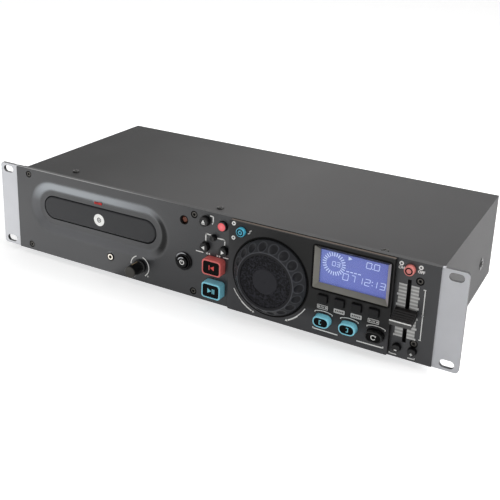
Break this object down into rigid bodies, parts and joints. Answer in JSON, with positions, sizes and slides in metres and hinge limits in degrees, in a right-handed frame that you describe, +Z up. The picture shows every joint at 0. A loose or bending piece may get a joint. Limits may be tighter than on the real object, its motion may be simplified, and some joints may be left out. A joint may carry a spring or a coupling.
{
  "type": "rack-mount cd player",
  "caption": "Two-unit rack-mount CD player with slotted ears, a motor-driven disc drawer, a jog wheel, a display, a pitch fader, a volume knob and push buttons.",
  "frame": {"origin": "centre of the four rack slots, on the rear face of the ears, which lies on the rack's rails", "axes": "+X to the right seen from the front, +Y from the front into the case, +Z up"},
  "size_m": [0.4826, 0.2301, 0.0941],
  "materials": {
    "zinc_sheet": "zinc-plated sheet",
    "cover_paint": "fine-textured dark grey paint",
    "ear_metal": "smooth light grey paint",
    "fascia_plastic": "fine-grained charcoal moulding",
    "screw_black": "black oxide",
    "foot_rubber": "matt",
    "lcd_glass": "clear",
    "lcd_blue": "lit blue",
    "circuit_board": "solder mask",
    "wheel_plastic": "satin",
    "pad_rubber": "matt",
    "black_plastic": "satin",
    "red_plastic": "translucent red",
    "cyan_plastic": "translucent cyan",
    "lamp_plastic": "clear",
    "sensor_plastic": "dark infrared filter",
    "nickel": "nickel plate",
    "cream_plastic": "natural acetal",
    "aluminium_cast": "die cast",
    "rod_steel": "ground",
    "core_iron": "varnished laminations"
  },
  "bodies": {
    "case": {"chassis_pan": "zinc_sheet", "rear_panel": "cover_paint", "top_cover": "cover_paint", "rack_ears": "ear_metal", "front_fascia": "fascia_plastic", "control_block": "fascia_plastic", "fascia_screws": "screw_black", "cover_screws": "screw_black", "rubber_feet": "foot_rubber", "lcd_window": "lcd_glass", "lcd_module": "lcd_blue", "front_board": "circuit_board", "jog_encoder": "zinc_sheet", "fader_body": "zinc_sheet", "volume_pot": "zinc_sheet", "power_ring": "black_plastic", "indicator_lamps": "lamp_plastic", "remote_sensor": "sensor_plastic", "aux_socket": "nickel", "loader_frame": "black_plastic", "clamp_bridge": "zinc_sheet", "loading_motor": "nickel", "drive_belt": "foot_rubber", "main_board": "circuit_board", "transformer": "core_iron", "rear_sockets": "black_plastic"},
    "tray": {"disc_tray": "black_plastic", "tray_door": "fascia_plastic"},
    "drive": {"drive_gear": "cream_plastic"},
    "belt_wheel": {"motor_pulley": "cream_plastic"},
    "pickup_frame": {"traverse": "aluminium_cast", "guide_rods": "rod_steel", "traverse_motors": "nickel"},
    "spindle": {"turntable": "black_plastic"},
    "clamper": {"disc_clamper": "cream_plastic"},
    "sled": {"pickup_sled": "cream_plastic"},
    "sled_pinion": {"sled_gear": "cream_plastic"},
    "jog": {"jog_ring": "wheel_plastic", "jog_pad": "pad_rubber"},
    "fader": {"fader_cap": "black_plastic"},
    "volume": {"volume_knob": "black_plastic"},
    "eject": {"eject_button": "black_plastic"},
    "red": {"red_button": "red_plastic"},
    "plus": {"plus_button": "black_plastic"},
    "previous": {"previous_button": "black_plastic"},
    "next": {"next_button": "black_plastic"},
    "cue": {"cue_button": "red_plastic"},
    "play": {"play_button": "cyan_plastic"},
    "jog_mode": {"jog_mode_button": "cyan_plastic"},
    "display_key_1": {"display_key_1": "black_plastic"},
    "display_key_2": {"display_key_2": "black_plastic"},
    "display_key_3": {"display_key_3": "black_plastic"},
    "display_key_4": {"display_key_4": "black_plastic"},
    "loop_in": {"loop_in_button": "cyan_plastic"},
    "loop_out": {"loop_out_button": "cyan_plastic"},
    "reloop": {"reloop_button": "black_plastic"},
    "pitch": {"pitch_button": "red_plastic"},
    "bend_minus": {"bend_minus_button": "black_plastic"},
    "bend_plus": {"bend_plus_button": "black_plastic"},
    "power": {"power_button": "black_plastic"}
  },
  "joints": [
    {"name": "tray_slide", "type": "slide", "parent": "case", "child": "tray", "axis": [0, -1, 0], "range_m": [0, 0.138]},
    {"name": "drive_turn", "type": "hinge", "parent": "case", "child": "drive", "pos_m": [-0.0785, 0.024, 0], "axis": [0, 0, 1], "range_deg": [-680, 20]},
    {"name": "belt_wheel_turn", "type": "hinge", "parent": "case", "child": "belt_wheel", "pos_m": [-0.1145, 0.024, -0.004], "axis": [0, 0, 1], "range_deg": [-2500, 20]},
    {"name": "pickup_frame_tilt", "type": "hinge", "parent": "case", "child": "pickup_frame", "pos_m": [-0.1185, 0.164, -0.006], "axis": [1, 0, 0], "range_deg": [0, 5]},
    {"name": "spindle_spin", "type": "hinge", "parent": "pickup_frame", "child": "spindle", "pos_m": [-0.1185, 0.074, 0], "axis": [0, 0, 1], "continuous": true},
    {"name": "clamper_spin", "type": "hinge", "parent": "case", "child": "clamper", "pos_m": [-0.1185, 0.074, 0.012], "axis": [0, 0, 1], "continuous": true},
    {"name": "sled_slide", "type": "slide", "parent": "pickup_frame", "child": "sled", "axis": [0, 1, 0], "range_m": [0, 0.036]},
    {"name": "sled_pinion_turn", "type": "hinge", "parent": "pickup_frame", "child": "sled_pinion", "pos_m": [-0.1585, 0.12, -0.001], "axis": [0, 0, 1], "range_deg": [-10, 350]},
    {"name": "jog_spin", "type": "hinge", "parent": "case", "child": "jog", "pos_m": [0.0736, -0.018, -0.0012], "axis": [0, 1, 0], "continuous": true},
    {"name": "fader_slide", "type": "slide", "parent": "case", "child": "fader", "axis": [0, 0, 1], "range_m": [-0.02225, 0.02225]},
    {"name": "volume_turn", "type": "hinge", "parent": "case", "child": "volume", "pos_m": [-0.0673, -0.012, -0.0284], "axis": [0, 1, 0], "range_deg": [-150, 150]},
    {"name": "eject_press", "type": "slide", "parent": "case", "child": "eject", "axis": [0, 1, 0], "range_m": [0, 0.001], "stiffness_N_per_m": 600},
    {"name": "red_press", "type": "slide", "parent": "case", "child": "red", "axis": [0, 1, 0], "range_m": [0, 0.001], "stiffness_N_per_m": 600},
    {"name": "plus_press", "type": "slide", "parent": "case", "child": "plus", "axis": [0, 1, 0], "range_m": [0, 0.001], "stiffness_N_per_m": 600},
    {"name": "previous_press", "type": "slide", "parent": "case", "child": "previous", "axis": [0, 1, 0], "range_m": [0, 0.001], "stiffness_N_per_m": 600},
    {"name": "next_press", "type": "slide", "parent": "case", "child": "next", "axis": [0, 1, 0], "range_m": [0, 0.001], "stiffness_N_per_m": 600},
    {"name": "cue_press", "type": "slide", "parent": "case", "child": "cue", "axis": [0, 1, 0], "range_m": [0, 0.001], "stiffness_N_per_m": 600},
    {"name": "play_press", "type": "slide", "parent": "case", "child": "play", "axis": [0, 1, 0], "range_m": [0, 0.001], "stiffness_N_per_m": 600},
    {"name": "jog_mode_press", "type": "slide", "parent": "case", "child": "jog_mode", "axis": [0, 1, 0], "range_m": [0, 0.001], "stiffness_N_per_m": 600},
    {"name": "display_key_1_press", "type": "slide", "parent": "case", "child": "display_key_1", "axis": [0, 1, 0], "range_m": [0, 0.001], "stiffness_N_per_m": 600},
    {"name": "display_key_2_press", "type": "slide", "parent": "case", "child": "display_key_2", "axis": [0, 1, 0], "range_m": [0, 0.001], "stiffness_N_per_m": 600},
    {"name": "display_key_3_press", "type": "slide", "parent": "case", "child": "display_key_3", "axis": [0, 1, 0], "range_m": [0, 0.001], "stiffness_N_per_m": 600},
    {"name": "display_key_4_press", "type": "slide", "parent": "case", "child": "display_key_4", "axis": [0, 1, 0], "range_m": [0, 0.001], "stiffness_N_per_m": 600},
    {"name": "loop_in_press", "type": "slide", "parent": "case", "child": "loop_in", "axis": [0, 1, 0], "range_m": [0, 0.001], "stiffness_N_per_m": 600},
    {"name": "loop_out_press", "type": "slide", "parent": "case", "child": "loop_out", "axis": [0, 1, 0], "range_m": [0, 0.001], "stiffness_N_per_m": 600},
    {"name": "reloop_press", "type": "slide", "parent": "case", "child": "reloop", "axis": [0, 1, 0], "range_m": [0, 0.001], "stiffness_N_per_m": 600},
    {"name": "pitch_press", "type": "slide", "parent": "case", "child": "pitch", "axis": [0, 1, 0], "range_m": [0, 0.001], "stiffness_N_per_m": 600},
    {"name": "bend_minus_press", "type": "slide", "parent": "case", "child": "bend_minus", "axis": [0, 1, 0], "range_m": [0, 0.001], "stiffness_N_per_m": 600},
    {"name": "bend_plus_press", "type": "slide", "parent": "case", "child": "bend_plus", "axis": [0, 1, 0], "range_m": [0, 0.001], "stiffness_N_per_m": 600},
    {"name": "power_press", "type": "slide", "parent": "case", "child": "power", "axis": [0, 1, 0], "range_m": [0, 0.002], "stiffness_N_per_m": 600}
  ],
  "couplings": [
    {"joint": "drive_turn", "follows": "tray_slide", "rad_per_m": -83.333},
    {"joint": "belt_wheel_turn", "follows": "tray_slide", "rad_per_m": -312.5},
    {"joint": "clamper_spin", "follows": "spindle_spin", "ratio": 1},
    {"joint": "sled_pinion_turn", "follows": "sled_slide", "rad_per_m": 166.67}
  ]
}
